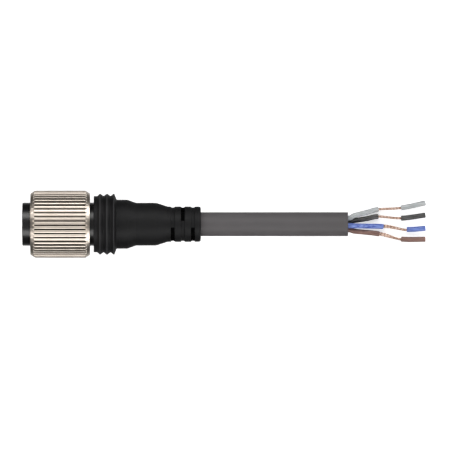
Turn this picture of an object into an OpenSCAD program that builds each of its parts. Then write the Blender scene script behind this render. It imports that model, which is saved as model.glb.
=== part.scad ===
// Straight M12 cable connector, female, four poles, moulded onto a stripped lead.
// The connector's axis is X: the mating face is at x = 0, and the lead leaves towards +X.
// The part lies with its coupling nut and the end of its cable on one level surface.

/* [Contact carrier] */
// Diameter of the nose that enters the mating half
nose_d = 9; // [8.6:0.1:9.1]
// How far the nose stands out of the coupling nut
nose_reach = 1.7; // [1:0.1:3]
// Rounding at the nose's front edge
nose_round = 0.15; // [0.1:0.05:0.3]
// Diameter of the flange that the nut pulls on
flange_d = 10.5; // [10:0.1:10.8]
// Thickness of the flange
flange_len = 1.4; // [1:0.1:2]
// Depth by which the O-ring's seat is turned below the nose
seat_depth = 0.25; // [0.2:0.05:0.3]
// Width of the coding keyway
key_w = 1.3; // [1:0.1:1.6]
// Depth of the coding keyway
key_depth = 0.9; // [0.5:0.1:1]
// Length of the coding keyway
key_len = 7; // [5:0.5:8]
// Length of the carrier's root inside the grip
root_len = 2.1; // [2:0.1:2.3]
// Depth of the groove that locks the root in the grip
root_groove = 0.5; // [0.3:0.1:0.8]

/* [Contacts] */
// Diameter of the circle that the four contacts stand on
contact_circle = 5.5; // [5.3:0.1:5.6]
// Diameter of the mating pins
pin_d = 1; // [0.8:0.1:1.1]
// Depth of the socket's bore
pin_depth = 5; // [4:0.5:6]
// Outer diameter of the sprung socket
socket_d = 1.6; // [1.5:0.1:1.7]
// Room round the socket for its tines to open
socket_room = 0.05; // [0.05:0.05:0.1]
// Distance from the mating face to the socket's mouth
socket_recess = 0.8; // [0.6:0.1:1.2]
// Length of the sprung socket
socket_len = 5.2; // [4.8:0.1:5.6]
// Diameter of the entry holes in the mating face
entry_d = 1.2; // [1.2:0.05:1.3]
// Size of the lead-in chamfer at the entry holes
entry_chamfer = 0.25; // [0.1:0.05:0.35]
// Width of the slots between the tines
tine_slot = 0.2; // [0.15:0.05:0.3]
// Length of the slots between the tines
tine_len = 3.5; // [2.5:0.5:4]
// Diameter of the collar that holds a contact in the carrier
collar_d = 1.9; // [1.8:0.1:2]
// Length of that collar
collar_len = 1; // [0.8:0.1:1.5]
// Diameter of the contact's shank and solder tail
shank_d = 1.5; // [1.4:0.1:1.5]
// Length of the solder tail behind the carrier
tail_len = 2.5; // [2:0.1:2.5]

/* [O-ring] */
// Thickness of the O-ring's section
o_ring_d = 0.9; // [0.8:0.05:0.9]

/* [Coupling nut] */
// Wall between the thread's relief and the knurl's ridges
nut_wall = 0.95; // [0.85:0.05:1.4]
// Length of the nut
nut_len = 12.4; // [12:0.1:14]
// Number of ridges in the knurl
ridges = 48; // [36:4:48]
// Angle that the nut stands at, from +Y to the first ridge, in degrees
nut_turn = 5.65; // [0:0.05:7.5]
// Height of the ridges over the nut's round
ridge_h = 0.27; // [0.2:0.01:0.3]
// Radius of a ridge's round back
ridge_r = 0.4; // [0.3:0.02:0.4]
// Length of the chamfer at each end
nut_chamfer = 0.95; // [0.6:0.05:1.1]
// Depth of the chamfer at each end
nut_bevel = 0.6; // [0.4:0.05:0.7]
// Nominal diameter of the inner thread
thread_d = 12; // [11.8:0.1:12]
// Pitch of the inner thread
thread_pitch = 1; // [0.75:0.25:1]
// Length of the threaded bore
thread_len = 6.5; // [5:0.1:6.7]
// Length of the inner lip that bears on the flange
lip_len = 2.9; // [2:0.1:3]
// Running clearance between the lip and the carrier's neck
lip_fit = 0.1; // [0.05:0.01:0.1]
// Free travel between the lip and the flange
flange_gap = 0.2; // [0.1:0.05:0.3]
// Free travel between the nut and the grip
grip_gap = 0.8; // [0.4:0.1:0.9]

/* [Grip body] */
// Diameter of the front collar and of the valleys between the ribs
grip_d = 11.7; // [11.2:0.1:12]
// Diameter over the pointed ribs
rib_d = 12.7; // [12.2:0.1:13]
// Number of pointed ribs
ribs = 3; // [2:1:3]
// Distance between the ribs
rib_pitch = 1.45; // [1.3:0.05:1.6]
// Width of a rib's flat tip
rib_tip = 0.16; // [0.1:0.02:0.3]
// Distance from the grip's front to the first rib's tip
rib_start = 1.3; // [1.1:0.1:1.5]
// Diameter of the barrel behind the ribs
barrel_d = 10.2; // [9.8:0.1:10.8]
// Length of the barrel
barrel_len = 2.25; // [1.5:0.05:3]
// Length of the shoulder between the barrel and the waist
shoulder_len = 1.8; // [1.2:0.1:2.5]
// Diameter of the waist
waist_d = 8.9; // [8.6:0.1:9.4]
// Length of the waist
waist_len = 4.2; // [4.2:0.1:6]
// Length of the taper between the waist and the strain relief
taper_len = 2.4; // [2:0.1:3]

/* [Strain relief] */
// Diameter over the strain relief's rings
relief_d = 7.36; // [7.2:0.02:7.6]
// Length of the strain relief
relief_len = 6.9; // [6.8:0.1:8]
// Number of grooves
grooves = 3; // [2:1:3]
// Distance between the grooves
groove_pitch = 2.1; // [1.8:0.1:2.2]
// Width of a groove
groove_w = 0.9; // [0.6:0.1:1]
// Depth of a groove all round
groove_depth = 0.2; // [0.1:0.05:0.3]
// Width of the deep windows in the grooves
window_w = 0.8; // [0.5:0.1:0.9]
// Part of a quarter turn that a window covers, in degrees
window_arc = 66; // [50:2:70]
// Skin left between a window and the cable
window_skin = 0.25; // [0.2:0.05:0.4]
// Rounding of the strain relief's end
relief_round = 0.5; // [0.3:0.05:0.6]

/* [Inner mould] */
// Diameter of the head round the solder tails
mould_d = 8.4; // [8.2:0.1:8.6]
// Length of the head
mould_head = 3.5; // [3:0.1:3.8]
// Length of the step down to the body
mould_step = 2; // [1.6:0.1:2.2]
// Diameter of the body round the cores
mould_waist_d = 6.8; // [6.6:0.1:7]
// Length of the body
mould_body = 6; // [5.9:0.1:6.1]
// Diameter of the end that grips the jacket
mould_end_d = 5.8; // [5.6:0.1:6]
// Length of the end's taper
mould_taper = 1.2; // [1:0.1:1.4]

/* [Lead] */
// Diameter of the cable
cable_d = 5; // [4.8:0.1:5.2]
// Bore of the jacket, round the cores
jacket_bore = 3.7; // [3.7:0.05:3.9]
// Diameter of an insulated core
core_d = 1.1; // [1:0.05:1.1]
// Diameter of a core's copper strands
conductor_d = 0.6; // [0.5:0.05:0.7]

/* [Hidden] */

round_fn = 96;
small_fn = 32;
cut = 1; // how far a cutter runs past the face it opens

// Stations along the axis, from the mating face back
nut_front = nose_reach;
nut_back = nut_front + nut_len;
lip_front = nut_back - lip_len;
flange_back = lip_front - flange_gap;
flange_front = flange_back - flange_len;
grip_front = nut_back + grip_gap;
carrier_back = grip_front + root_len;
last_rib = grip_front + rib_start + (ribs - 1) * rib_pitch;
barrel_front = last_rib + 0.38 * rib_pitch;
barrel_back = barrel_front + barrel_len;
waist_front = barrel_back + shoulder_len;
waist_back = waist_front + waist_len;
relief_front = waist_back + taper_len;
grip_back = relief_front + relief_len;

// Radii worked out from the fits
nose_r = nose_d / 2;
seat_r = nose_r - seat_depth;
seat_front = flange_front - o_ring_d - seat_depth;
thread_minor_r = thread_d / 2 - 0.5413 * thread_pitch;
thread_relief_r = thread_d / 2 + 0.05 * thread_pitch;
lip_r = nose_r + lip_fit;
nut_r = thread_relief_r + nut_wall;
cable_r = cable_d / 2;
collar_front = socket_recess + socket_len;
contact_back = carrier_back + tail_len;

// Route of the cable's centre line: straight out of the grip, then down to the surface
cable_route = [
    [28, 0, 0], [31, 0, 0], [34, 0, 0], [37, 0, 0], [40, 0, 0],
    [43, 0, -0.3], [46, 0, -0.7], [49, 0, -1.35], [52, 0, -2.25], [55, 0, -3.15],
    [58, 0, -3.8], [61, 0, -4.2], [64, 0, -4.45], [66, 0, -4.5], [67.9, 0, -4.5]
];
// The cable's points that a core follows inside the jacket
shared = [0, 4, 6, 8, 10, 12, 14];

// Each core runs from its contact to its place in the jacket, and fans out on the surface behind it.
// The last three points end the insulation, the bare strands and the tip.
brown_route = wire(
    [[19.5, -1.95, -1.95], [21.5, -1.95, -1.8], [24, -1.6, -1], [26.5, -1.1, -0.4]],
    [-1.15, -0.35],
    [[69.2, -1.45, -5.2], [71.8, -1.7, -6.2], [74.5, -2.05, -6.45], [79, -3.1, -6.45], [84.1, -3.15, -6.45]]
);
white_route = wire(
    [[19.5, 1.95, -1.95], [21.5, 1.95, -1.6], [24, 1.8, -0.3], [26.5, 1.2, 0.2]],
    [1.2, 0.1],
    [[69.2, 1.8, -4.8], [71.8, 2.45, -6], [74.3, 3.1, -6.45], [79, 3.4, -6.45], [84.1, 4.45, -6.45]]
);
blue_route = wire(
    [[19.5, 1.95, 1.95], [21.5, 1.6, 1.95], [24, 0.4, 1.8], [26.5, -0.2, 1.1]],
    [-0.3, 0.8],
    [[69.2, -0.35, -4], [71.8, -0.4, -5.6], [75.3, -0.5, -6.45], [80.2, -1.1, -6.45], [84.1, -0.85, -6.45]]
);
black_route = wire(
    [[19.5, -1.95, 1.95], [21.5, -1.5, 1.4], [24, -0.3, 0.1], [26.5, 0.4, -0.7]],
    [0.5, -0.8],
    [[69.2, 0.75, -5.6], [71.8, 1.15, -6.4], [74.3, 1.6, -6.45], [79, 1.25, -6.45], [84.1, 1.9, -6.45]]
);

function unit(v) = v / norm(v);

// Direction of a path at its point i; every path sets out along +X
function heading(path, i) =
    i == 0 ? [1, 0, 0] : unit(path[min(i + 1, len(path) - 1)] - path[i - 1]);

// Horizontal unit vector square to a direction
function across(t) = unit(cross([0, 0, 1], t));

// Point beside a path's point i, at offset o across and above it
function beside(path, i, o) =
    let (t = heading(path, i), u = across(t)) path[i] + o[0] * u + o[1] * cross(t, u);

// Ring of points round a path's point i
function ring(path, i, r, sides) =
    [for (k = [0:sides - 1]) beside(path, i, r * [cos(360 * k / sides), sin(360 * k / sides)])];

// A core's whole route: from its contact, through the jacket at offset o, and out of its end
function wire(inside, o, outside) =
    concat(inside, [for (i = shared) beside(cable_route, i, o)], outside);

// Index of a route's points at which the insulation and the bare strands end
function insulation_end(route) = len(route) - 3;
function strands_end(route) = len(route) - 2;

// Points of a quarter circle of radius r about [x, y], from angle a on
function quarter(x, y, r, a) = [for (k = [0:4]) [x + r * cos(a + 22.5 * k), y + r * sin(a + 22.5 * k)]];

// Turns a profile of [x, radius] points round the connector's axis
module turned(profile) {
    rotate([0, 90, 0])
        rotate_extrude($fn = round_fn)
            polygon([for (p = profile) [p[1], p[0]]]);
}

// Round bar along X, from x = a to x = b
module bar(a, b, d, fn = small_fn) {
    translate([a, 0, 0])
        rotate([0, 90, 0])
            cylinder(h = b - a, d = d, $fn = fn);
}

// Sweeps a round section along the points of a path from index a to index b
module tube(path, d, a, b, sides = 8) {
    n = b - a;
    polyhedron(
        points = [for (i = [a:b]) each ring(path, i, d / 2, sides)],
        faces = concat(
            [[for (k = [0:sides - 1]) k]],
            [for (i = [0:n - 1], k = [0:sides - 1])
                [for (p = [[0, 0], [1, 0], [1, 1], [0, 1]]) (i + p[0]) * sides + (k + p[1]) % sides]],
            [[for (k = [sides - 1:-1:0]) n * sides + k]]
        )
    );
}

// Sweeps a pipe of outer diameter d and bore b along a whole path
module pipe(path, d, bore, sides = 12) {
    n = len(path);
    inner = n * sides; // index of the first point of the bore
    function at(i, k) = i * sides + k % sides;
    polyhedron(
        points = concat(
            [for (i = [0:n - 1]) each ring(path, i, d / 2, sides)],
            [for (i = [0:n - 1]) each ring(path, i, bore / 2, sides)]
        ),
        faces = [for (k = [0:sides - 1]) each concat(
            [[at(0, k), at(0, k + 1), inner + at(0, k + 1), inner + at(0, k)]],
            [for (i = [0:n - 2]) each [
                [at(i, k), at(i + 1, k), at(i + 1, k + 1), at(i, k + 1)],
                [for (p = [at(i, k), at(i, k + 1), at(i + 1, k + 1), at(i + 1, k)]) inner + p]
            ]],
            [[at(n - 1, k + 1), at(n - 1, k), inner + at(n - 1, k), inner + at(n - 1, k + 1)]]
        )]
    );
}

// Places a child at contact i of the circle, numbered as on the mating face
module at_contact(i) {
    turn = 135 + 90 * i; // from +Y towards +Z, with the keyway at -Z between contacts 1 and 2
    translate([0, contact_circle / 2 * cos(turn), contact_circle / 2 * sin(turn)]) children();
}

module contact_carrier() {
    color("#1b1b1d")
    difference() {
        turned(concat([[0, 0]], carrier_outline(), [[carrier_back, 0]]));
        translate([-cut, -key_w / 2, -nose_r - cut]) cube([key_len + cut, key_w, key_depth + cut]);
        for (i = [1:4]) at_contact(i) contact_cavity();
    }
}

// Outline of the carrier: nose, O-ring seat, flange, neck and grooved root
function carrier_outline() = concat(
    [[0, nose_r - nose_round], [nose_round, nose_r], [seat_front, nose_r], [seat_front, seat_r],
     [flange_front, seat_r], [flange_front, flange_d / 2], [flange_back, flange_d / 2], [flange_back, nose_r]],
    root_outline()
);

// Outline of the root that the grip is moulded round
function root_outline() = [
    [grip_front, nose_r],
    [grip_front + root_len / 3, nose_r], [grip_front + root_len / 3, nose_r - root_groove],
    [grip_front + root_len * 2 / 3, nose_r - root_groove], [grip_front + root_len * 2 / 3, nose_r],
    [carrier_back, nose_r]
];

// Room for one contact, with a chamfered entry for its pin
module contact_cavity() {
    rotate([0, 90, 0])
        cylinder(h = entry_chamfer, d1 = entry_d + 2 * entry_chamfer, d2 = entry_d, $fn = small_fn);
    bar(-cut, socket_recess + cut, entry_d);
    bar(socket_recess, collar_front, socket_d + 2 * socket_room);
    bar(collar_front, collar_front + collar_len, collar_d);
    bar(collar_front, carrier_back + cut, shank_d);
}

module contact(i) {
    color("#c9a24a")
    at_contact(i)
    difference() {
        union() {
            bar(socket_recess, collar_front, socket_d);
            bar(collar_front, collar_front + collar_len, collar_d);
            bar(collar_front, contact_back, shank_d);
        }
        bar(socket_recess - cut, socket_recess + pin_depth, pin_d);
        for (a = [0, 90]) rotate([a, 0, 0])
            translate([socket_recess - cut, -socket_d, -tine_slot / 2])
                cube([tine_len + cut, 2 * socket_d, tine_slot]);
    }
}

module o_ring() {
    color("#8c2a20")
    translate([flange_front - o_ring_d / 2, 0, 0])
        rotate([0, 90, 0])
            rotate_extrude($fn = round_fn)
                translate([seat_r + o_ring_d / 2, 0])
                    circle(d = o_ring_d, $fn = small_fn);
}

module coupling_nut() {
    color("#c4bcb2")
    difference() {
        intersection() {
            union() {
                bar(nut_front, nut_back, 2 * (nut_r - ridge_h), round_fn);
                for (i = [0:ridges - 1]) rotate([nut_turn + 360 * i / ridges, 0, 0])
                    translate([0, nut_r - ridge_r, 0]) bar(nut_front, nut_back, 2 * ridge_r);
            }
            turned([
                [nut_front, 0], [nut_front, nut_r - nut_bevel], [nut_front + nut_chamfer, nut_r],
                [nut_back - nut_chamfer, nut_r], [nut_back, nut_r - nut_bevel], [nut_back, 0]
            ]);
        }
        // The bore: chamfered mouth, thread at its inner diameter, relief, and the lip's running bore
        turned([
            [nut_front - cut, 0], [nut_front - cut, thread_relief_r], [nut_front, thread_relief_r],
            [nut_front + thread_pitch / 2, thread_minor_r], [nut_front + thread_len, thread_minor_r],
            [nut_front + thread_len, thread_relief_r], [lip_front, thread_relief_r],
            [lip_front, lip_r], [nut_back + cut, lip_r], [nut_back + cut, 0]
        ]);
    }
}

// Outline of the inner mould, and of the grip's cavity round it
function mould_outline() =
    let (a = carrier_back, b = a + mould_head, c = b + mould_step, d = c + mould_body, e = d + mould_taper) [
        [a, mould_d / 2], [b, mould_d / 2], [c, mould_waist_d / 2], [d, mould_waist_d / 2], [e, mould_end_d / 2]
    ];

module inner_mould() {
    outline = mould_outline();
    back = outline[len(outline) - 1][0];
    color("#3c3f44")
    difference() {
        turned(concat([[carrier_back, 0]], outline, [[back, 0]]));
        for (i = [1:4]) at_contact(i) bar(carrier_back - cut, contact_back, shank_d);
        for (route = [brown_route, white_route, blue_route, black_route])
            tube(route, core_d, 0, insulation_end(route));
        bar(cable_route[0][0], back + cut, cable_d, round_fn);
    }
}

// Outline of one rib's tip, and of the valley in front of it
function rib_outline(i) =
    let (x = grip_front + rib_start + i * rib_pitch) [
        [x - rib_pitch / 2 + (i == 0 ? rib_tip : 0), grip_d / 2],
        [x - rib_tip / 2, rib_d / 2], [x + rib_tip / 2, rib_d / 2]
    ];

// Outline of groove i of the strain relief
function groove_x(i) = relief_front + groove_pitch / 2 + i * groove_pitch;
function groove_outline(i) =
    let (x = groove_x(i), r = relief_d / 2) [
        [x - groove_w / 2, r], [x - groove_w / 4, r - groove_depth],
        [x + groove_w / 4, r - groove_depth], [x + groove_w / 2, r]
    ];

module grip_body() {
    mould = mould_outline();
    mould_back = mould[len(mould) - 1][0];
    root = root_outline();
    color("#242526")
    difference() {
        turned(concat(
            [[grip_front, grip_d / 2]],
            [for (i = [0:ribs - 1]) each rib_outline(i)],
            [[barrel_front, barrel_d / 2], [barrel_back, barrel_d / 2],
             [waist_front, waist_d / 2], [waist_back, waist_d / 2], [relief_front, relief_d / 2]],
            [for (i = [0:grooves - 1]) each groove_outline(i)],
            [for (p = quarter(0, 0, relief_round, 0))
                [grip_back - relief_round + p[1], relief_d / 2 - relief_round + p[0]]],
            [[grip_back, cable_r], [mould_back, cable_r]],
            [for (i = [len(mould) - 1:-1:0]) mould[i]],
            [for (i = [len(root) - 1:-1:0]) root[i]]
        ));
        for (i = [0:grooves - 1]) relief_windows(i);
    }
}

// Two opposite windows in groove i; each groove is turned against the one before it
module relief_windows(i) {
    floor_r = cable_r + window_skin;
    middle = (i % 2 == 0) ? 45 : -45;
    for (turn = [0, 180])
        rotate([0, 90, 0])
            rotate([0, 0, middle + turn - window_arc / 2])
                rotate_extrude(angle = window_arc, $fn = round_fn)
                    translate([floor_r, groove_x(i) - window_w / 2]) square([relief_d / 2, window_w]);
}

module cable_jacket() {
    color("#636062") pipe(cable_route, cable_d, jacket_bore);
}

module core(route, shade) {
    color(shade) tube(route, core_d, 0, insulation_end(route));
}

module conductor(route) {
    color("#c98a64") tube(route, conductor_d, insulation_end(route), strands_end(route));
}

module tip(route, shade) {
    color(shade) tube(route, core_d, strands_end(route), len(route) - 1);
}

contact_carrier();
contact(1);  // contact_1
contact(2);  // contact_2
contact(3);  // contact_3
contact(4);  // contact_4
o_ring();
coupling_nut();
inner_mould();
grip_body();
cable_jacket();
core(brown_route, "#7b4a3e");  // core_brown
core(white_route, "#c9ccca");  // core_white
core(blue_route, "#4a58ad");  // core_blue
core(black_route, "#3a3a3a");  // core_black
conductor(brown_route);  // conductor_brown
conductor(white_route);  // conductor_white
conductor(blue_route);  // conductor_blue
conductor(black_route);  // conductor_black
tip(brown_route, "#7b4a3e");  // tip_brown
tip(white_route, "#c9ccca");  // tip_white
tip(blue_route, "#4a58ad");  // tip_blue
tip(black_route, "#3a3a3a");  // tip_black
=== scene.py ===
"""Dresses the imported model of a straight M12 cable connector.

The frame gives every place: the connector's axis is X, the mating face stands at x = 0, and the
lead leaves towards +X and comes down to the surface that the part lies on. All lengths are in metres.
"""

from __future__ import annotations

import logging
import math
from dataclasses import dataclass, field
from enum import Enum
from typing import Callable, Iterable, Sequence

import bmesh
import bpy
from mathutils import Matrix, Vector

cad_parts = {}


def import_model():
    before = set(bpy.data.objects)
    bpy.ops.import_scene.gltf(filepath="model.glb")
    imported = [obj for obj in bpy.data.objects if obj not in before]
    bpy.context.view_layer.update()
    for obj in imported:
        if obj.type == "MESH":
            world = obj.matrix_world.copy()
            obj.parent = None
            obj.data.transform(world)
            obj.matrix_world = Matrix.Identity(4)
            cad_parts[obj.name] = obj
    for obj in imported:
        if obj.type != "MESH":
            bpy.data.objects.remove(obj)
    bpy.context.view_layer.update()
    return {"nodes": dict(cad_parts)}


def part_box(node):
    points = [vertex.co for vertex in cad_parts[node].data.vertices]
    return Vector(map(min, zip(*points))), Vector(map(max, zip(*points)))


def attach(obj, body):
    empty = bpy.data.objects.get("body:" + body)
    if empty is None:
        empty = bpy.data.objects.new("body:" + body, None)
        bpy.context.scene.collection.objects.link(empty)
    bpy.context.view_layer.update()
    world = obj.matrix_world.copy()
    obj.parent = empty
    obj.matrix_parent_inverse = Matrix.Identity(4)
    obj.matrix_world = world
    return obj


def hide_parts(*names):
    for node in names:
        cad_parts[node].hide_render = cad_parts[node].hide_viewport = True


LOG = logging.getLogger("connector")
MM = 0.001
TAU = 2 * math.pi
SHARP_EDGE = math.radians(38)
SAME_POINT = 1e-7  # points nearer than this are merged
NO_LENGTH = 1e-8  # edges shorter than this are dissolved
MATH = "ShaderNodeMath"
# A noise texture's values lie mostly between these
NOISE_LOW, NOISE_HIGH = 0.3, 0.7
# The Mix node has several sockets of one name; these are the numbers of those that mix colours
FACTOR, FIRST, SECOND, MIXED = 0, 6, 7, 2

Point = tuple[float, float, float]
Profile = list[tuple[float, float]]


# ---------------------------------------------------------------- nodes and colours


def srgb(code: str) -> tuple[float, float, float, float]:
    """Turns an sRGB hex colour into linear values.

    Args:
        code: The colour as six hex digits.

    Returns:
        Linear red, green and blue, and an alpha of 1.
    """
    channels = [int(code[i : i + 2], 16) / 255 for i in (0, 2, 4)]
    linear = [c / 12.92 if c <= 0.04045 else ((c + 0.055) / 1.055) ** 2.4 for c in channels]
    return (linear[0], linear[1], linear[2], 1.0)


def add_node(
    tree: bpy.types.NodeTree, kind: str, inputs: dict | list | None = None, **settings: object
) -> bpy.types.Node:
    """Adds a node with its settings and links.

    Args:
        tree: The tree that gets the node.
        kind: The node's type name.
        inputs: What goes into its sockets: by name or number, or as a list in their order. Each is a
            value, a socket, a node that gives its first output, or a list where a socket takes several.
        **settings: The node's own properties.

    Returns:
        The new node.
    """
    node = tree.nodes.new(kind)
    for name, value in settings.items():
        setattr(node, name, value)
    pairs = enumerate(inputs) if isinstance(inputs, list) else (inputs or {}).items()
    for key, value in pairs:
        for feed in value if isinstance(value, list) else [value]:
            source = feed.outputs[0] if isinstance(feed, bpy.types.Node) else feed
            if isinstance(source, bpy.types.NodeSocket):
                tree.links.new(source, node.inputs[key])
            else:
                node.inputs[key].default_value = source
    return node


def axis_distance(tree: bpy.types.NodeTree, place: bpy.types.NodeSocket) -> bpy.types.NodeSocket:
    """Works out how far a point lies from the connector's axis.

    Args:
        tree: The tree that needs it.
        place: The point.

    Returns:
        The socket that gives the distance.
    """
    flat = add_node(tree, "ShaderNodeVectorMath", [place, (0.0, 1.0, 1.0)], operation="MULTIPLY")
    return add_node(tree, "ShaderNodeVectorMath", [flat], operation="LENGTH").outputs["Value"]


# ---------------------------------------------------------------- finishes


@dataclass(frozen=True)
class Finish:
    """A surface's real material and how it was made.

    Attributes:
        name: Common name of the material and its process.
        slot: The record's material slot that it stands for; it is not used.
        colour: Main colour, sRGB hex.
        shade: Second colour that the first drifts to in soft patches, sRGB hex.
        roughness: Mean roughness.
        roughness_drift: How far the roughness drifts in patches.
        patch: Size of those patches.
        grain: Size of the surface's grain.
        grain_height: Height of that grain.
        stretch: How much longer than wide the grain is, along X.
        streak: How much longer than wide the patches are, along X.
        metallic: 1 for a metal, which keeps the shader's own index of refraction.
        ior: Index of refraction of a plastic.
        scatter: Weight of light scattered below the surface.
        scatter_depth: How deep that light goes.
        scatter_reach: How far its red, green and blue go, as shares of that depth.
    """

    name: str
    slot: str
    colour: str
    shade: str
    roughness: float
    roughness_drift: float = 0.06
    patch: float = 2.5 * MM
    grain: float = 0.12 * MM
    grain_height: float = 0.004 * MM
    stretch: float = 1.0
    streak: float = 1.0
    metallic: float = 0.0
    ior: float = 1.5
    scatter: float = 0.0
    scatter_depth: float = 0.4 * MM
    scatter_reach: tuple[float, float, float] = (1.0, 0.9, 0.8)

    def build(self) -> bpy.types.Material:
        """Makes the Blender material.

        Returns:
            The material, whose patterns lie on Object coordinates.
        """
        material = bpy.data.materials.new(self.name)
        material.use_nodes = True
        tree = material.node_tree
        tree.nodes.clear()
        place = add_node(tree, "ShaderNodeTexCoord").outputs["Object"]
        drawn = add_node(tree, "ShaderNodeMapping", {"Vector": place, "Scale": (1 / self.streak, 1.0, 1.0)})
        patches = add_node(
            tree, "ShaderNodeTexNoise",
            {"Vector": drawn, "Scale": 1 / self.patch, "Detail": 3.0, "Roughness": 0.55},
        )
        drift = {"Value": patches.outputs["Fac"], "From Min": NOISE_LOW, "From Max": NOISE_HIGH}
        share = add_node(tree, "ShaderNodeMapRange", drift)
        mixed = add_node(
            tree, "ShaderNodeMix",
            {FACTOR: share, FIRST: srgb(self.colour), SECOND: srgb(self.shade)}, data_type="RGBA",
        )
        least, most = self.roughness - self.roughness_drift, self.roughness + self.roughness_drift
        roughness = add_node(tree, "ShaderNodeMapRange", {**drift, "To Min": least, "To Max": most})
        bump = add_node(
            tree, "ShaderNodeBump",
            {"Height": self.grain_pattern(tree, place), "Distance": self.grain_height, "Strength": 1.0},
        )
        shader = add_node(
            tree, "ShaderNodeBsdfPrincipled",
            {
                # the colour, with any shade or highlight that the finish paints into it
                "Base Color": self.paint_light_and_shade(tree, place, mixed.outputs[MIXED]),
                "Roughness": roughness,
                "Normal": bump,
                "Metallic": self.metallic,
            },
        )
        if not self.metallic:
            shader.inputs["IOR"].default_value = self.ior
        if self.scatter:
            shader.inputs["Subsurface Weight"].default_value = self.scatter
            shader.inputs["Subsurface Radius"].default_value = self.scatter_reach
            shader.inputs["Subsurface Scale"].default_value = self.scatter_depth
        add_node(tree, "ShaderNodeOutputMaterial", {"Surface": shader})
        return material

    def paint_light_and_shade(
        self, tree: bpy.types.NodeTree, place: bpy.types.NodeSocket, colour: bpy.types.NodeSocket
    ) -> bpy.types.NodeSocket:
        """Paints light and shade into the colour where a finish has them; a plain finish paints none.

        Args:
            tree: The material's tree; not used by a plain finish.
            place: The point on the piece; not used by a plain finish.
            colour: The colour so far.

        Returns:
            The socket that gives the colour.
        """
        return colour

    def grain_pattern(
        self, tree: bpy.types.NodeTree, place: bpy.types.NodeSocket
    ) -> bpy.types.NodeSocket:
        """Draws the grain's height.

        Args:
            tree: The material's tree.
            place: The point on the piece.

        Returns:
            The socket that gives the height, from 0 to 1.
        """
        drawn = add_node(tree, "ShaderNodeMapping", {"Vector": place, "Scale": (1 / self.stretch, 1.0, 1.0)})
        noise = add_node(
            tree, "ShaderNodeTexNoise",
            {"Vector": drawn, "Scale": 1 / self.grain, "Detail": 4.0, "Roughness": 0.6},
        )
        return noise.outputs["Fac"]


@dataclass(frozen=True)
class KnurledFinish(Finish):
    """A plated knurl with painted shade in the grooves between the ridges; the ridges and the chamfers keep
    the plating's colour.

    Attributes:
        root: Radius below which a groove is wholly in painted shade.
        bright: Radius from which there is no painted shade.
        floor: Radius below which there is no groove.
        middle: Middle of the knurl along X.
        half_length: Half the knurl's length, between the chamfers.
        fade: Length over which the painted shade fades at the knurl's ends.
        painted_groove_shade: Colour of the shade painted into the grooves, sRGB hex.
    """

    root: float = 6.79 * MM
    bright: float = 6.94 * MM
    floor: float = 6.71 * MM
    middle: float = 7.9 * MM
    half_length: float = 5.5 * MM
    fade: float = 0.3 * MM
    # painted shade: the grooves' dark colour stands in for the shadow between the ridges
    painted_groove_shade: str = "1f1814"

    def paint_light_and_shade(
        self, tree: bpy.types.NodeTree, place: bpy.types.NodeSocket, colour: bpy.types.NodeSocket
    ) -> bpy.types.NodeSocket:
        """Paints shade into the grooves of the knurl.

        Args:
            tree: The material's tree.
            place: The point on the nut.
            colour: The plating's colour.

        Returns:
            The socket that gives the colour.
        """
        radius = axis_distance(tree, place)
        along = add_node(tree, "ShaderNodeSeparateXYZ", [place]).outputs["X"]
        away = add_node(tree, MATH, [along, self.middle], operation="SUBTRACT")
        far = add_node(tree, MATH, [away], operation="ABSOLUTE")
        inside = add_node(tree, MATH, [radius, self.floor], operation="LESS_THAN")
        ridge = add_node(
            tree, "ShaderNodeMapRange",
            {"Value": radius, "From Min": self.root, "From Max": self.bright},
            interpolation_type="SMOOTHSTEP",
        )
        ends = add_node(
            tree, "ShaderNodeMapRange",
            {"Value": far, "From Min": self.half_length - self.fade, "From Max": self.half_length},
            interpolation_type="SMOOTHSTEP",
        )
        unshaded_ridge = add_node(tree, MATH, [ridge, inside], operation="MAXIMUM")
        bright = add_node(tree, MATH, [unshaded_ridge, ends], operation="MAXIMUM")
        # painted shade, darkest on the grooves' floor and gone on the ridges and at the knurl's ends
        grooves = srgb(self.painted_groove_shade)
        mixed = add_node(
            tree, "ShaderNodeMix", {FACTOR: bright, FIRST: grooves, SECOND: colour}, data_type="RGBA"
        )
        return mixed.outputs[MIXED]


@dataclass(frozen=True)
class SparkErodedFinish(Finish):
    """Moulded in a tool with a spark-eroded face, which leaves small round pits in the plastic."""

    def grain_pattern(
        self, tree: bpy.types.NodeTree, place: bpy.types.NodeSocket
    ) -> bpy.types.NodeSocket:
        """Draws the pits: cells of the grain's size, broken up by a finer noise.

        Args:
            tree: The material's tree.
            place: The point on the piece.

        Returns:
            The socket that gives the height, from 0 to 1.
        """
        cells = add_node(
            tree, "ShaderNodeTexVoronoi",
            {"Vector": place, "Scale": 1 / self.grain, "Randomness": 1.0}, feature="SMOOTH_F1",
        )
        fine = super().grain_pattern(tree, place)
        both = add_node(tree, MATH, [fine, 0.5, cells.outputs["Distance"]], operation="MULTIPLY_ADD")
        return both.outputs["Value"]


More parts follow.
